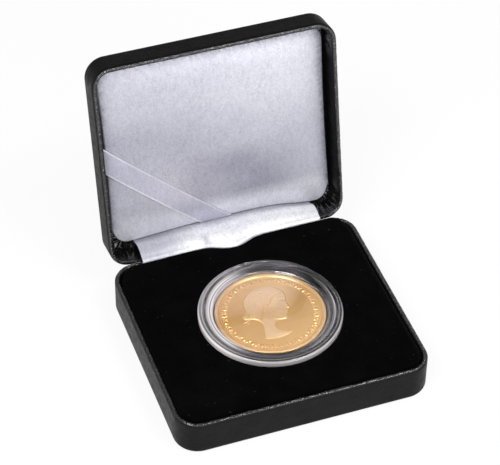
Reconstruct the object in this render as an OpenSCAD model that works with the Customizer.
// A small hinged coin case, shown open. The base's underside lies on z = 0, the front faces -Y
// and the hinge runs along X at the back. Lengths are in millimetres.

/* [Case] */
// Width of the base from side to side
case_w = 52; // [48:0.5:64]
// Depth of the base from front to back
case_d = 46.4; // [44:0.2:60]
// Height of the base up to its rim
base_h = 7.8; // [7.4:0.1:11]
// Height of the lid from its rim to its top
lid_h = 6.4; // [6:0.1:9]
// Radius of the base's corners, seen from above
corner_r = 4.9; // [3.5:0.1:7]
// Radius of the pressed edge round the bottom of the base and the top of the lid
edge_r = 0.9; // [0.9:0.1:1.4]
// Distance that the lid's outline lies inside the base's
lid_margin = 0.7; // [0.4:0.1:1]
// Gap between the two rims when the case is shut
rim_gap = 0.3; // [0.2:0.05:0.6]
// Angle through which the lid opens
open_angle = 102.2; // [96:0.1:108]

/* [Walls] */
// Thickness of the pressed steel shells
steel_t = 0.45; // [0.35:0.05:0.6]
// Thickness of the leatherette
cover_t = 0.3; // [0.2:0.05:0.4]
// Depth of the leatherette turned in over each rim
flap_h = 3.6; // [2.6:0.1:4.2]

/* [Hinge] */
// Length of the hinge
hinge_w = 34; // [26:1:38]
// Number of knuckles on the two leaves together
knuckles = 5; // [3:2:7]
// Side gap between two knuckles
knuckle_gap = 0.15; // [0.1:0.05:0.3]
// Distance from the base's back face to the hinge axis
hinge_inset = 0.75; // [0.7:0.05:0.9]
// Depth of the hinge axis below the base's rim
hinge_drop = 0.6; // [0.5:0.05:0.7]
// Thickness of the hinge leaves
leaf_t = 0.32; // [0.25:0.01:0.36]
// Diameter of the hinge pin
pin_d = 0.8; // [0.6:0.05:0.9]
// Radial clearance between the pin and the knuckles
pin_fit = 0.03; // [0.02:0.01:0.06]
// Height of each leaf behind its wall's rim
leaf_h = 4.3; // [4:0.1:4.6]
// Gap between a leaf and the turned-in leatherette
leaf_gap = 0.13; // [0.05:0.01:0.2]
// Diameter of the rivets' shanks
rivet_d = 0.8; // [0.6:0.1:1]
// Diameter of the rivets' heads
rivet_head_d = 1.6; // [1.3:0.1:2]
// Height of the rivets' heads
rivet_head_h = 0.3; // [0.2:0.05:0.35]

/* [Snap spring] */
// Width of the C-shaped spring
spring_w = 8; // [6:0.5:10]
// Thickness of the spring
spring_t = 0.25; // [0.2:0.05:0.3]
// Radius of the spring's bend round the hinge axis
spring_r = 1.65; // [1.6:0.05:1.8]
// Length of the spring's two straight legs
spring_leg = 3.2; // [3:0.1:3.4]

/* [Velvet insert] */
// Height of the velvet above the base's rim
velvet_rise = 0.9; // [0:0.1:0.9]
// Thickness of the velvet and its backing
velvet_t = 0.8; // [0.5:0.1:1]
// Radius of the insert's upper edge
velvet_edge_r = 1.5; // [1.4:0.1:1.8]
// Depth of the velvet turned down round the outside of the insert
velvet_skirt = 3.6; // [2.6:0.1:4]
// Gap between the insert and the walls
insert_gap = 0.25; // [0.15:0.05:0.4]
// Distance of the recess from the middle, to the right
recess_x = 0.2; // [-2:0.1:2]
// Distance of the recess from the middle, to the back
recess_y = -0.3; // [-2:0.1:2]
// Gap between the capsule and the velvet round it
recess_gap = 0.35; // [0.3:0.05:0.6]
// Thickness of the velvet-covered disc under the capsule
recess_disc_t = 0.8; // [0.5:0.1:1]

/* [Coin and capsule] */
// Diameter of the coin
coin_d = 22; // [20:0.1:23]
// Thickness of the coin at its rim
coin_t = 1.5; // [1.2:0.05:1.8]
// Width of the coin's raised rim
coin_rim_w = 0.75; // [0.5:0.05:1]
// Height of the coin's raised rim
coin_rim_h = 0.14; // [0.08:0.02:0.2]
// Outer diameter of the capsule
capsule_d = 28.8; // [28:0.1:32]
// Thickness of the closed capsule
capsule_h = 4.4; // [4:0.1:4.8]
// Height that the capsule stands above the velvet
capsule_rise = 1.1; // [0.8:0.1:1.4]
// Gap round the coin in its well
coin_gap = 0.15; // [0.1:0.05:0.3]
// Thickness of the clear window over the coin
window_t = 0.8; // [0.6:0.05:1]
// Step from the capsule's outer ring down to its window
window_step = 0.2; // [0.1:0.05:0.3]
// Width of the capsule's outer ring
ring_w = 1.9; // [1.5:0.1:2.2]
// Wall thickness of the upper half's skirt
capsule_skirt_t = 1.15; // [0.9:0.05:1.3]
// Radial clearance between the two halves of the capsule
capsule_fit = 0.05; // [0.03:0.01:0.08]

/* [Lid lining] */
// Depth of the pad's edge below the lid's rim
pad_depth = 3.9; // [3.6:0.1:4.4]
// Height that the pad swells above its edge
pad_crown = 1.1; // [0.6:0.1:1.2]
// Gap between the pad and the lid's walls at the front and sides
pad_gap = 0.75; // [0.5:0.05:1]
// Space between the pad and the lid's back wall
pad_back_gap = 3; // [2.8:0.1:3.6]
// Radius of the pad's corners
pad_corner_r = 3.4; // [2.5:0.1:4]
// How far the pad's sides are drawn in between its corners
pad_draw = 0.25; // [0:0.05:0.4]
// Thickness of the card behind the pad
board_t = 0.8; // [0.6:0.1:0.9]
// Thickness of the satin
satin_t = 0.2; // [0.15:0.05:0.25]
// Width of the ribbon across the pad's corner
ribbon_w = 4.5; // [3:0.1:7]
// Distance from the middle of the pad's left edge down to the ribbon's centre line
ribbon_left = 0.2; // [-4:0.1:4]
// Slope of the ribbon against the hinge line
ribbon_angle = 40.3; // [30:0.1:45]
// Width of the satin strip over the hinge
strip_w = 38.4; // [36:0.2:40]
// Depth of the strip tucked in behind the velvet
strip_tuck = 1.6; // [1.2:0.1:1.7]

/* [Hidden] */
$fn = 64;
eps = 0.01;
wall_t = 2 * cover_t + steel_t;
floor_t = cover_t + steel_t;
back_y = case_d / 2;
lid_w = case_w - 2 * lid_margin;
lid_d = case_d - 2 * lid_margin;
lid_corner_r = corner_r - lid_margin;
lid_rim_z = base_h + rim_gap;
lid_top_z = lid_rim_z + lid_h;
lid_inner_y = lid_d / 2 - wall_t;

hinge_y = back_y - hinge_inset;
hinge_z = base_h - hinge_drop;
barrel_r = pin_d / 2 + pin_fit + leaf_t;
barrel_gap = 0.3;
knuckle_w = hinge_w / knuckles;
base_leaf_y = back_y - wall_t - leaf_gap - leaf_t;
lid_leaf_y = lid_inner_y - leaf_gap - leaf_t;
rivet_xs = [-0.41, -0.22, 0.22, 0.41] * hinge_w;
rivet_z = base_h - flap_h + rivet_head_d / 2 + 0.2;
lid_rivet_z = lid_rim_z + flap_h - rivet_head_d / 2 - 0.2;
rivet_gap = 0.03;

velvet_z = base_h + velvet_rise;
lining_gap = 0.05;
insert_w = case_w - 2 * (wall_t + insert_gap);
insert_front_y = -back_y + wall_t + insert_gap;
strip_room = satin_t + 0.15;
insert_back_y = base_leaf_y - strip_room;
insert_d = insert_back_y - insert_front_y;
insert_mid_y = (insert_back_y + insert_front_y) / 2;
insert_corner_r = corner_r - wall_t - insert_gap;
spring_out_r = spring_r + spring_t;
pocket_gap = 0.15;
pocket_w = spring_w + 6;
pocket_y = hinge_y - spring_out_r - satin_t - 2 * pocket_gap;

capsule_r = capsule_d / 2;
capsule_top_z = velvet_z + capsule_rise;
capsule_bottom_z = capsule_top_z - capsule_h;
recess_r = capsule_r + recess_gap;
window_top_z = capsule_top_z - window_step;
window_r = capsule_r - ring_w;
well_r = coin_d / 2 + coin_gap;
well_gap = 0.05;
coin_top_z = window_top_z - window_t - well_gap;
coin_bottom_z = coin_top_z - coin_t;
collar_r = capsule_r - capsule_skirt_t - capsule_fit;
flange_z = coin_bottom_z + 0.3;
chamfer = 0.15;

pad_w = lid_w - 2 * (wall_t + pad_gap);
pad_front_y = -lid_inner_y + pad_gap;
pad_back_y = lid_inner_y - pad_back_gap;
pad_d = pad_back_y - pad_front_y;
pad_mid_y = (pad_back_y + pad_front_y) / 2;
pad_edge_h = lid_h - pad_depth;
lid_foot = min(pad_back_gap, lid_corner_r - wall_t - 0.1);
board_z = floor_t + cover_t + 0.05;

// Outlines and walls

// Flat outline of a rectangle with round corners
module outline(w, d, r) {
    square([w - 2 * r, d], center = true);
    square([w, d - 2 * r], center = true);
    for (x = [-1, 1], y = [-1, 1])
        translate([x * (w / 2 - r), y * (d / 2 - r)])
            circle(r);
}

module plate(w, d, r, z, t) {
    translate([0, 0, z])
        linear_extrude(t)
            outline(w, d, r);
}

// Carries a wall section round the same rectangle. The section is drawn upright, with its
// distance from the corner's centre along X and its height along Y.
module swept(w, d, r) {
    for (k = [0 : 3]) {
        across = k % 2 == 0 ? w : d;
        along = k % 2 == 0 ? d : w;
        rotate([0, 0, 90 * k])
            translate([across / 2 - r, along / 2 - r, 0]) {
                rotate_extrude(angle = 90)
                    children();
                rotate([90, 0, 0])
                    linear_extrude(along - 2 * r)
                        children();
            }
    }
}

// Half and quarter rings of the wall sections
module ring_piece(r_out, r_in, corner) {
    intersection() {
        difference() {
            circle(r_out);
            if (r_in > 0)
                circle(r_in);
        }
        translate(corner)
            square([r_out * 2, r_out * 2]);
    }
}

// The leatherette is turned in over the rim by flap, and runs on over the floor by foot
module cover_section(r, h, flap, foot) {
    crest_r = wall_t / 2;
    translate([r - crest_r, h - crest_r])
        ring_piece(crest_r, steel_t / 2, [-crest_r, 0]);
    translate([r - cover_t, edge_r])
        square([cover_t, h - crest_r - edge_r]);
    translate([r - wall_t, h - flap])
        square([cover_t, flap - crest_r]);
    if (foot > 0) {
        translate([r - wall_t - foot, floor_t])
            square([foot + wall_t - edge_r, cover_t]);
        translate([r - edge_r, edge_r])
            ring_piece(max(edge_r - floor_t, eps), 0, [0, -2 * edge_r]);
    }
    translate([r - edge_r, edge_r])
        ring_piece(edge_r, edge_r - cover_t, [0, -2 * edge_r]);
}

module shell_section(r, h) {
    crest_r = wall_t / 2;
    bend_r = edge_r - cover_t;
    translate([r - crest_r, h - crest_r])
        ring_piece(steel_t / 2, 0, [-steel_t / 2, 0]);
    translate([r - cover_t - steel_t, edge_r])
        square([steel_t, h - crest_r - edge_r]);
    translate([r - edge_r, edge_r])
        ring_piece(bend_r, bend_r - steel_t, [0, -2 * bend_r]);
}

module tray_cover(w, d, r, h, flap, foot = 0) {
    swept(w, d, r)
        cover_section(r, h, flap, foot);
    plate(w - 2 * edge_r, d - 2 * edge_r, r - edge_r, 0, cover_t);
}

module tray_shell(w, d, r, h) {
    swept(w, d, r)
        shell_section(r, h);
    plate(w - 2 * edge_r, d - 2 * edge_r, r - edge_r, cover_t, steel_t);
}

// Room for the hinge barrel in the back walls
module barrel_notch() {
    along_x(hinge_w + 2 * barrel_gap, barrel_r + barrel_gap);
}

// Round bar on the hinge axis
module along_x(length, r, x = 0) {
    translate([x - length / 2, hinge_y, hinge_z])
        rotate([0, 90, 0])
            cylinder(r = r, h = length);
}

module rivet_holes(z) {
    for (x = rivet_xs)
        translate([x, hinge_y, z])
            rotate([90, 0, 0])
                cylinder(d = rivet_d + 2 * rivet_gap, h = 6, center = true);
}

// Places for the lid's pieces

// Turns what is drawn shut to the open lid's place
module swing() {
    translate([0, hinge_y, hinge_z])
        rotate([-open_angle, 0, 0])
            translate([0, -hinge_y, -hinge_z])
                children();
}

// Turns what is drawn as a tray, mouth up, over on to the base
module shut() {
    translate([0, 0, lid_top_z])
        mirror([0, 0, 1])
            children();
}

function swung(p) = [
    hinge_y + (p.x - hinge_y) * cos(open_angle) + (p.y - hinge_z) * sin(open_angle),
    hinge_z - (p.x - hinge_y) * sin(open_angle) + (p.y - hinge_z) * cos(open_angle)
];

// Base

module base_cover() {
    color("#1c1c1e")
        difference() {
            tray_cover(case_w, case_d, corner_r, base_h, flap_h);
            barrel_notch();
            rivet_flap_holes(rivet_z, back_y);
        }
}

// The rivets pass the turned-in leatherette but not the outside
module rivet_flap_holes(z, y) {
    intersection() {
        rivet_holes(z);
        translate([-hinge_w / 2, y - wall_t - eps, z - rivet_d])
            cube([hinge_w, cover_t + 2 * eps, 2 * rivet_d]);
    }
}

module base_shell() {
    color("#9aa0a6")
        difference() {
            tray_shell(case_w, case_d, corner_r, base_h);
            barrel_notch();
            rivet_holes(rivet_z);
        }
}

module spring_pocket() {
    translate([-pocket_w / 2, pocket_y, hinge_z - spring_leg - 1])
        cube([pocket_w, back_y, base_h]);
}

module insert_block() {
    inset = velvet_t + lining_gap;
    bottom_z = floor_t + lining_gap;
    shoulder_z = velvet_z - velvet_edge_r;
    top_z = velvet_z - velvet_t - lining_gap;
    color("#55524c")
        difference() {
            translate([0, insert_mid_y, 0]) {
                plate(insert_w - 2 * inset, insert_d - 2 * inset, insert_corner_r - inset,
                    bottom_z, shoulder_z - bottom_z);
                plate(insert_w - 2 * velvet_edge_r, insert_d - 2 * velvet_edge_r,
                    insert_corner_r - velvet_edge_r, bottom_z, top_z - bottom_z);
            }
            translate([recess_x, recess_y, capsule_bottom_z - recess_disc_t])
                cylinder(r = recess_r + inset, h = base_h);
            spring_pocket();
        }
}

module velvet_pad() {
    skirt_z = velvet_z - velvet_skirt;
    color("#08080a")
        difference() {
            union() {
                translate([0, insert_mid_y, 0]) {
                    swept(insert_w, insert_d, insert_corner_r)
                        velvet_section(insert_corner_r, skirt_z);
                    plate(insert_w - 2 * velvet_edge_r, insert_d - 2 * velvet_edge_r,
                        insert_corner_r - velvet_edge_r, velvet_z - velvet_t, velvet_t);
                }
                translate([recess_x, recess_y, 0])
                    cylinder(r = recess_r + velvet_t, h = velvet_z - velvet_t / 2);
            }
            translate([recess_x, recess_y, 0])
                rotate_extrude($fn = 96)
                    recess_section();
            translate([recess_x, recess_y, -eps])
                cylinder(r = recess_r + velvet_t + eps, h = capsule_bottom_z + eps);
            spring_pocket();
        }
}

module velvet_section(r, skirt_z) {
    translate([r - velvet_edge_r, velvet_z - velvet_edge_r])
        ring_piece(velvet_edge_r, velvet_edge_r - velvet_t, [0, 0]);
    translate([r - velvet_t, skirt_z])
        square([velvet_t, velvet_skirt - velvet_edge_r]);
}

// Round hole with a soft lip at the velvet's surface
module recess_section() {
    lip_r = 0.5;
    difference() {
        square([recess_r + lip_r, velvet_z + lip_r]);
        translate([recess_r, 0])
            square([lip_r * 2, velvet_z - lip_r]);
        translate([recess_r + lip_r, velvet_z - lip_r])
            circle(lip_r);
    }
}

module recess_disc() {
    color("#0a0a0c")
        translate([recess_x, recess_y, capsule_bottom_z - recess_disc_t])
            cylinder(r = recess_r, h = recess_disc_t);
}

// Hinge

// Middle of each knuckle along X; even ones belong to the base
function knuckle_x(k) = (k - (knuckles - 1) / 2) * knuckle_w;

module knuckle(k) {
    difference() {
        along_x(knuckle_w - knuckle_gap, barrel_r, knuckle_x(k));
        along_x(knuckle_w + 1, pin_d / 2 + pin_fit, knuckle_x(k));
    }
}

// Slab that runs along X, from an upright outline of y and z
module extruded_x(x, width, points) {
    translate([x - width / 2, 0, 0])
        rotate([90, 0, 90])
            linear_extrude(width)
                polygon(points);
}

module spring_slot(y, z) {
    translate([-spring_w / 2 - 0.2, y - 1, z])
        cube([spring_w + 0.4, 2, spring_t + 0.3]);
}

module hinge_leaf_base() {
    low_z = base_h - leaf_h;
    free_z = hinge_z - barrel_r - barrel_gap;
    out_y = hinge_y - barrel_r;
    color("#b4b6ba")
        difference() {
            union() {
                extruded_x(0, hinge_w - knuckle_gap, [
                    [base_leaf_y, low_z], [base_leaf_y + leaf_t, low_z],
                    [base_leaf_y + leaf_t, free_z], [base_leaf_y, free_z]
                ]);
                for (k = [0 : 2 : knuckles - 1]) {
                    knuckle(k);
                    extruded_x(knuckle_x(k), knuckle_w - knuckle_gap, [
                        [base_leaf_y, free_z - eps], [base_leaf_y + leaf_t, free_z - eps],
                        [out_y + leaf_t, hinge_z], [out_y, hinge_z]
                    ]);
                }
            }
            rivet_holes(rivet_z);
            spring_slot(base_leaf_y, hinge_z - spring_leg - 0.15);
        }
}

// The lid's knuckles stand off their leaf on a slanted bend, which grow thickens on every side
bend_low_z = hinge_z + pin_d / 2 + 0.1;
bend_high_z = bend_low_z + hinge_y - barrel_r - lid_leaf_y;
module leaf_bend(k, grow = 0) {
    y = hinge_y - barrel_r;
    corner = leaf_t * tan(22.5) + grow;
    extruded_x(knuckle_x(k), knuckle_w - knuckle_gap + 2 * grow, [
        [y - grow, hinge_z], [y + leaf_t + grow, hinge_z],
        [y + leaf_t + grow, bend_low_z + grow], [lid_leaf_y + leaf_t + grow, bend_high_z + grow],
        [lid_leaf_y + leaf_t + grow, bend_high_z + leaf_t], [lid_leaf_y - grow, bend_high_z + leaf_t],
        [lid_leaf_y - grow, bend_high_z + corner], [y - grow, bend_low_z + corner]
    ]);
}

// Room in the lid's back wall for those bends
module leaf_bend_room() {
    for (k = [1 : 2 : knuckles - 1])
        leaf_bend(k, 0.08);
}

module hinge_leaf_lid() {
    high_z = lid_rim_z + leaf_h;
    free_z = max(bend_high_z + leaf_t, lid_rim_z + barrel_r) - eps;
    color("#b4b6ba")
        swing()
            difference() {
                union() {
                    extruded_x(0, hinge_w - knuckle_gap, [
                        [lid_leaf_y, free_z], [lid_leaf_y + leaf_t, free_z],
                        [lid_leaf_y + leaf_t, high_z], [lid_leaf_y, high_z]
                    ]);
                    for (k = [1 : 2 : knuckles - 1]) {
                        knuckle(k);
                        difference() {
                            leaf_bend(k);
                            along_x(knuckle_w + 1, pin_d / 2 + pin_fit, knuckle_x(k));
                        }
                        extruded_x(knuckle_x(k), knuckle_w - knuckle_gap, [
                            [lid_leaf_y, bend_high_z + leaf_t - eps],
                            [lid_leaf_y + leaf_t, bend_high_z + leaf_t - eps],
                            [lid_leaf_y + leaf_t, free_z + eps], [lid_leaf_y, free_z + eps]
                        ]);
                    }
                }
                rivet_holes(lid_rivet_z);
                spring_slot(lid_leaf_y, hinge_z + spring_leg - spring_t - 0.15);
            }
}

module hinge_pin() {
    color("#d0d2d6")
        along_x(hinge_w, pin_d / 2);
}

// Rivets with low domed heads on a leaf and shanks that end in the steel wall
module rivets(leaf_y, wall_y, z) {
    shank_l = wall_y - cover_t - leaf_y;
    for (x = rivet_xs)
        translate([x, leaf_y, z])
            rotate([-90, 0, 0]) {
                cylinder(d = rivet_d, h = shank_l);
                rotate_extrude()
                    polygon([
                        [0, 0], [rivet_head_d / 2, 0],
                        [rivet_head_d * 0.42, -rivet_head_h * 0.6],
                        [rivet_head_d * 0.25, -rivet_head_h], [0, -rivet_head_h]
                    ]);
            }
}

module hinge_rivets_base() {
    color("#c8b070")
        rivets(base_leaf_y, back_y, rivet_z);
}

module hinge_rivets_lid() {
    color("#c8b070")
        swing()
            rivets(lid_leaf_y, lid_d / 2, lid_rivet_z);
}

// C-shaped leaf spring, bent round the hinge and hooked into a slot in each leaf. Its bend runs
// from straight in front of the axis up to the lid's leaf.
function spring_arc(r, from, to) = [
    for (i = [0 : 12]) let (a = from + (to - from) * i / 12) [hinge_y, hinge_z] + r * [cos(a), sin(a)]
];

module snap_spring() {
    lid_end = 180 - open_angle;
    out_y = hinge_y - spring_out_r;
    in_y = hinge_y - spring_r;
    low_z = hinge_z - spring_leg;
    high_z = hinge_z + spring_leg;
    color("#7d8086")
        extruded_x(0, spring_w, concat(
            [[base_leaf_y + leaf_t, low_z], [out_y, low_z]],
            spring_arc(spring_out_r, 180, lid_end),
            [swung([out_y, high_z]), swung([lid_leaf_y + leaf_t, high_z])],
            [swung([lid_leaf_y + leaf_t, high_z - spring_t]), swung([in_y, high_z - spring_t])],
            spring_arc(spring_r, lid_end, 180),
            [[in_y, low_z + spring_t], [base_leaf_y + leaf_t, low_z + spring_t]]
        ));
}

// Satin over the hinge

// Closed sheet between two grids of points with the same rows and columns
module sheet_between(front, back) {
    rows = len(front);
    cols = len(front[0]);
    n = rows * cols;
    points = concat([for (row = front) each row], [for (row = back) each row]);
    edge = concat(
        [for (j = [0 : cols - 1]) j],
        [for (i = [1 : rows - 1]) i * cols + cols - 1],
        [for (j = [cols - 2 : -1 : 0]) (rows - 1) * cols + j],
        [for (i = [rows - 2 : -1 : 1]) i * cols]
    );
    m = len(edge);
    faces = concat(
        [for (i = [0 : rows - 2], j = [0 : cols - 2]) let (a = i * cols + j)
            each [[a, a + 1, a + cols + 1], [a, a + cols + 1, a + cols]]],
        [for (i = [0 : rows - 2], j = [0 : cols - 2]) let (a = n + i * cols + j)
            each [[a, a + cols + 1, a + 1], [a, a + cols, a + cols + 1]]],
        [for (k = [0 : m - 1]) let (a = edge[k], b = edge[(k + 1) % m])
            each [[a, a + n, b + n], [a, b + n, b]]]
    );
    polyhedron(points, faces);
}

function blend_points(a, b, t) = [for (i = [0 : len(a) - 1]) a[i] * (1 - t) + b[i] * t];
function smooth(t) = let (c = min(max(t, 0), 1)) c * c * (3 - 2 * c);

// Unit normal of an open line of points at point i
function side_of(line, i) =
    let (a = line[max(i - 1, 0)], b = line[min(i + 1, len(line) - 1)], d = (b - a) / norm(b - a))
    [-d.y, d.x];
function shifted(line, t) = [for (i = [0 : len(line) - 1]) line[i] + side_of(line, i) * t];

// The strip's line of y and z: behind the velvet, over the hinge, up to the pad's lower edge
strip_start_z = base_h - strip_tuck;
strip_y = base_leaf_y - pocket_gap / 2;
strip_end = swung([pad_back_y + 0.2, lid_rim_z + pad_depth]);
strip_top = swung([pad_back_y + 0.45, lid_rim_z + pad_depth - pad_crown]);
strip_rim = [strip_y + 0.2, velvet_z + 0.25];
strip_flat = concat(
    [[strip_y, strip_start_z], [strip_y, (strip_start_z + velvet_z) / 2], [strip_y, velvet_z - 0.15]],
    [for (t = [0 : 1 / 6 : 0.99]) strip_rim * (1 - t) + strip_top * t + [0, 0.35 * sin(180 * t)]],
    [strip_top, strip_end]
);
bulge_r = spring_out_r + pocket_gap / 2;
strip_bulged = concat(
    [for (z = [strip_start_z, (strip_start_z + hinge_z) / 2, hinge_z - 0.1]) [hinge_y - bulge_r, z]],
    [for (a = [170 : -90 / 5 : 79]) [hinge_y, hinge_z] + bulge_r * [cos(a), sin(a)]],
    [strip_top, strip_end]
);
bulge_w = pocket_w / 2 - 0.1;
strip_half = [for (t = [0 : 1 / 7 : 1.01]) t * bulge_w];
strip_rest = [for (t = [0.2 : 0.2 : 1.01]) bulge_w * (1 - t) + strip_w / 2 * t];
strip_right = concat([for (i = [1 : 7]) strip_half[i]], strip_rest);
strip_xs = concat([for (i = [len(strip_right) - 1 : -1 : 0]) -strip_right[i]], [0], strip_right);

function strip_bulge(x) = smooth((bulge_w - abs(x)) / (bulge_w - spring_w / 2 - 0.1));

module hinge_strip() {
    inner = [for (x = strip_xs)
        [for (p = blend_points(strip_flat, strip_bulged, strip_bulge(x))) [x, p.x, p.y]]];
    outer = [for (x = strip_xs)
        [for (p = shifted(blend_points(strip_flat, strip_bulged, strip_bulge(x)), satin_t))
            [x, p.x, p.y]]];
    color("#ececf6")
        sheet_between(inner, outer);
}

// Lid

module lid_cover() {
    color("#1c1c1e")
        swing()
            difference() {
                shut()
                    tray_cover(lid_w, lid_d, lid_corner_r, lid_h, lid_h - edge_r, lid_foot);
                barrel_notch();
                leaf_bend_room();
                rivet_flap_holes(lid_rivet_z, lid_d / 2);
            }
}

module lid_shell() {
    color("#9aa0a6")
        swing()
            difference() {
                shut()
                    tray_shell(lid_w, lid_d, lid_corner_r, lid_h);
                barrel_notch();
                leaf_bend_room();
                rivet_holes(lid_rivet_z);
            }
}

// Lid pad, drawn with the lid as a tray, mouth up

// Outline of the pad at a distance inside its edge, with its sides drawn in
pad_steps = 5;
function pad_corner(k, i, inset) =
    let (
        r = pad_corner_r - min(inset, pad_corner_r * 0.6),
        sx = (k == 0 || k == 3) ? 1 : -1,
        sy = k < 2 ? 1 : -1,
        a = 90 * k + 90 * i / pad_steps
    )
    [sx * (pad_w / 2 - inset - r) + r * cos(a), sy * (pad_d / 2 - inset - r) + r * sin(a)];
function pad_side(k, t, inset) =
    let (
        a = pad_corner(k, pad_steps, inset),
        b = pad_corner((k + 1) % 4, 0, inset),
        p = a * (1 - t) + b * t,
        n = [-cos(90 * k + 90), -sin(90 * k + 90)]
    )
    p + n * pad_draw * sin(180 * t);
function pad_outline(inset) = [
    for (k = [0 : 3]) each concat(
        [for (i = [0 : pad_steps]) pad_corner(k, i, inset)],
        [for (t = [0.2 : 0.2 : 0.81]) pad_side(k, t, inset)]
    )
];

function pad_fall(t) = 1 - pow(min(abs(t), 1), 8);
function pad_height(x, y) =
    pad_edge_h + pad_crown * pad_fall(2 * x / pad_w) * pad_fall(2 * y / pad_d)
        * (0.8 + 0.2 * cos(90 * 2 * x / pad_w) * cos(90 * 2 * y / pad_d));

pad_insets = [0, 0.35, 1, 2, 4, 8, 14];
pad_cap_inset = pad_d / 2 - 2.2;

// One ring of points of the pad's face, raised by a height
function pad_ring(inset, rise) = [
    for (p = pad_outline(inset)) [p.x, p.y + pad_mid_y, pad_height(p.x, p.y) + rise]
];
function pad_level(inset, z) = [for (p = pad_outline(inset)) [p.x, p.y + pad_mid_y, z]];

// Closed solid through a stack of rings, with a flat cap on each end
module ringed(rings) {
    n = len(rings[0]);
    last = len(rings) - 1;
    faces = concat(
        [[for (j = [0 : n - 1]) j]],
        [for (i = [0 : last - 1], j = [0 : n - 1])
            let (a = i * n + j, b = i * n + (j + 1) % n)
            each [[a, b + n, b], [a, a + n, b + n]]],
        [[for (j = [n - 1 : -1 : 0]) last * n + j]]
    );
    polyhedron([for (ring = rings) each ring], faces);
}

module pad_board() {
    inset = satin_t + 0.1;
    color("#8a7f6c")
        swing()
            shut()
                translate([0, pad_mid_y, 0])
                    plate(pad_w - 2 * (inset + pad_draw), pad_d - 2 * (inset + pad_draw),
                        pad_corner_r - inset, board_z, board_t);
}

module pad_foam() {
    inset = satin_t + 0.05;
    color("#d8d4c4")
        swing()
            shut()
                ringed(concat(
                    [pad_level(inset, board_z + board_t)],
                    [for (s = pad_insets) pad_ring(s + inset, -inset)],
                    [pad_level(pad_cap_inset, pad_height(0, 0) - inset)]
                ));
}

module lid_satin() {
    low_z = board_z + 0.1;
    color("#e4e4f0")
        swing()
            shut()
                ringed(concat(
                    [pad_level(pad_cap_inset, pad_height(0, 0) - satin_t)],
                    [for (i = [len(pad_insets) - 1 : -1 : 0])
                        pad_ring(pad_insets[i] + satin_t, -satin_t)],
                    [pad_level(satin_t, low_z), pad_level(0, low_z)],
                    [for (s = pad_insets) pad_ring(s, 0)],
                    [pad_level(pad_cap_inset, pad_height(0, 0))]
                ));
}

// The ribbon's centre line crosses the pad's lower left corner
ribbon_start = [-pad_w / 2, ribbon_left - pad_mid_y];
ribbon_dir = [cos(ribbon_angle), sin(ribbon_angle)];
ribbon_side = [-sin(ribbon_angle), cos(ribbon_angle)];
function ribbon_reach(s) =
    let (p = ribbon_start + ribbon_side * s)
    [(-pad_w / 2 - p.x) / ribbon_dir.x, (pad_d / 2 - p.y) / ribbon_dir.y];
function ribbon_point(s, t, rise) =
    let (
        reach = ribbon_reach(s),
        p = ribbon_start + ribbon_side * s + ribbon_dir * (reach[0] * (1 - t) + reach[1] * t)
    )
    [p.x, p.y + pad_mid_y, pad_height(p.x, p.y) + rise];
ribbon_ts = [0, 0.01, 0.03, 0.07, 0.15, 0.3, 0.5, 0.7, 0.85, 0.93, 0.97, 0.99, 1];

module satin_ribbon() {
    under = [for (s = [-0.5, 0, 0.5] * ribbon_w) [for (t = ribbon_ts) ribbon_point(s, t, 0.06)]];
    over = [for (s = [-0.5, 0, 0.5] * ribbon_w)
        [for (t = ribbon_ts) ribbon_point(s, t, 0.06 + satin_t)]];
    color("#dcdcec")
        swing()
            shut()
                sheet_between(over, under);
}

// Coin capsule

module at_recess() {
    translate([recess_x, recess_y, 0])
        children();
}

module capsule_bottom() {
    foot_w = ring_w;
    window_z = capsule_bottom_z + window_step;
    collar_z = window_top_z - window_t - 0.1;
    color([0.85, 0.9, 0.95, 0.4])
        at_recess()
            rotate_extrude($fn = 128)
                polygon([
                    [0, window_z], [capsule_r - foot_w - window_step, window_z],
                    [capsule_r - foot_w, capsule_bottom_z],
                    [capsule_r - chamfer, capsule_bottom_z],
                    [capsule_r, capsule_bottom_z + chamfer], [capsule_r, flange_z],
                    [collar_r, flange_z], [collar_r, collar_z - chamfer],
                    [collar_r - chamfer, collar_z], [well_r + 0.6, collar_z],
                    [well_r, collar_z - 0.6], [well_r, coin_bottom_z], [0, coin_bottom_z]
                ]);
}

module capsule_top() {
    skirt_r = capsule_r - capsule_skirt_t;
    color([0.85, 0.9, 0.95, 0.4])
        at_recess()
            rotate_extrude($fn = 128)
                polygon([
                    [0, window_top_z - window_t], [skirt_r, window_top_z - window_t],
                    [skirt_r, flange_z], [capsule_r, flange_z],
                    [capsule_r, capsule_top_z - chamfer], [capsule_r - chamfer, capsule_top_z],
                    [window_r + window_step, capsule_top_z], [window_r, window_top_z],
                    [0, window_top_z]
                ]);
}

module coin() {
    r = coin_d / 2;
    field_r = r - coin_rim_w;
    color("#c89a4a")
        at_recess()
            rotate_extrude($fn = 128)
                polygon([
                    [0, coin_bottom_z + coin_rim_h], [field_r - coin_rim_h, coin_bottom_z + coin_rim_h],
                    [field_r, coin_bottom_z], [r - chamfer, coin_bottom_z],
                    [r, coin_bottom_z + chamfer], [r, coin_top_z - chamfer],
                    [r - chamfer, coin_top_z], [field_r, coin_top_z],
                    [field_r - coin_rim_h, coin_top_z - coin_rim_h], [0, coin_top_z - coin_rim_h]
                ]);
}

base_cover();
base_shell();
insert_block();
velvet_pad();
recess_disc();
hinge_leaf_base();
hinge_pin();
hinge_rivets_base();
snap_spring();
hinge_strip();
lid_cover();
lid_shell();
hinge_leaf_lid();
hinge_rivets_lid();
pad_board();
pad_foam();
lid_satin();
satin_ribbon();
capsule_bottom();
capsule_top();
coin();
